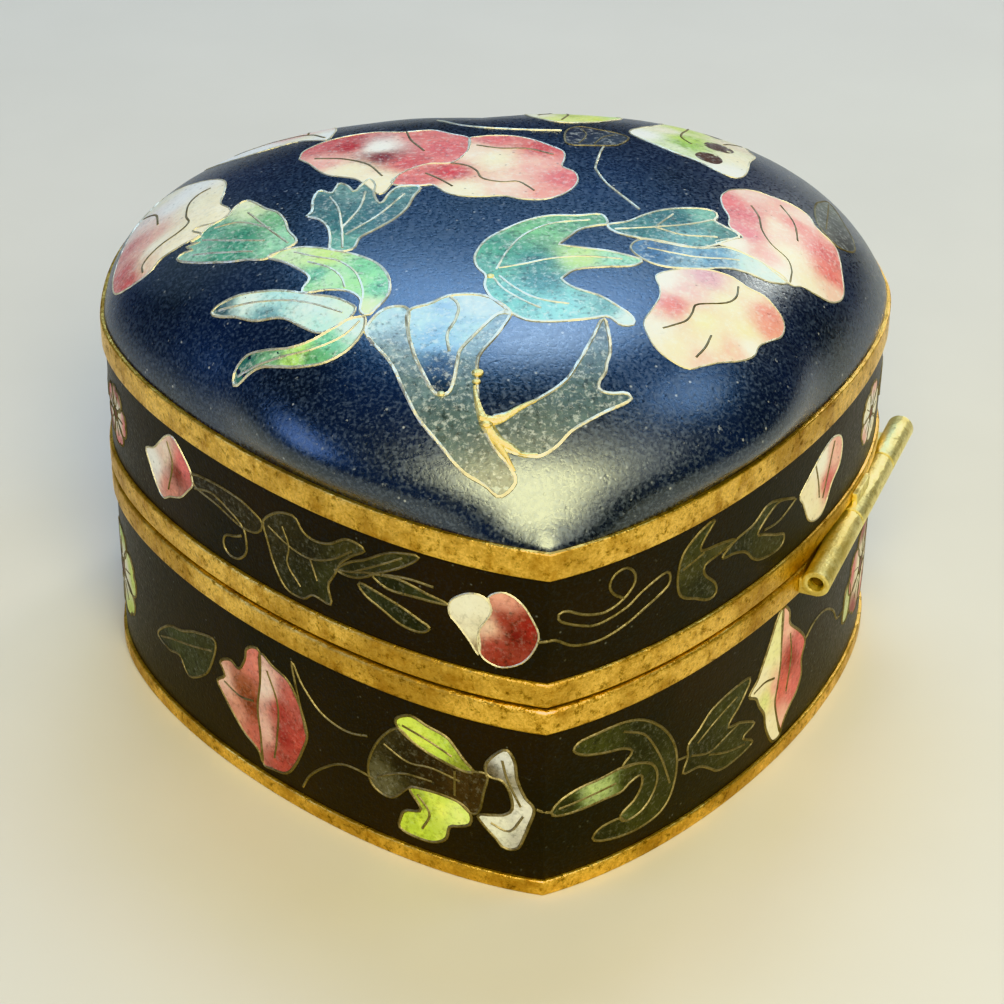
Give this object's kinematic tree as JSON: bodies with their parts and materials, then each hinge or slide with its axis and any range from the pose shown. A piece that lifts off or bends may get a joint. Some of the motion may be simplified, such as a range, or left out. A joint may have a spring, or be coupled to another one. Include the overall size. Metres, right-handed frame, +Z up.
{
  "type": "cloisonne enamel box",
  "caption": "Hollow heart-shaped enamelled copper trinket box with a domed lid hinged at the side.",
  "frame": {"origin": "on the flat underside, on the centre line, below the widest line of the heart", "axes": "+Z up, -Y towards the heart's pointed tip, +X towards the hinge side"},
  "size_m": [0.0631, 0.0584, 0.0396],
  "materials": {
    "copper_sheet": null,
    "brass_band": "golden brass, brushed, with speckled brown tarnish",
    "side_enamel": "glossy brown-black fired enamel with gilt wire outlines and painted flowers",
    "dome_enamel": "glossy dark navy fired enamel, finely pitted, with gilt wire outlines and flowers",
    "hinge_brass": "pale yellow brass tube, bright where it is rubbed"
  },
  "bodies": {
    "base": {"base_cup": "copper_sheet", "base_foot_band": "brass_band", "base_rim_band": "brass_band", "base_side_enamel": "side_enamel", "hinge_knuckle_front": "hinge_brass", "hinge_knuckle_back": "hinge_brass", "hinge_pin": "hinge_brass"},
    "lid": {"lid_shell": "copper_sheet", "lid_rim_band": "brass_band", "lid_top_band": "brass_band", "lid_side_enamel": "side_enamel", "lid_dome_enamel": "dome_enamel", "hinge_knuckle_middle": "hinge_brass"}
  },
  "joints": [
    {"name": "lid_hinge", "type": "hinge", "parent": "base", "child": "lid", "pos_m": [0.02665, -0.01086, 0.0163], "axis": [0.4617, 0.887, 0], "range_deg": [0, 105]}
  ]
}
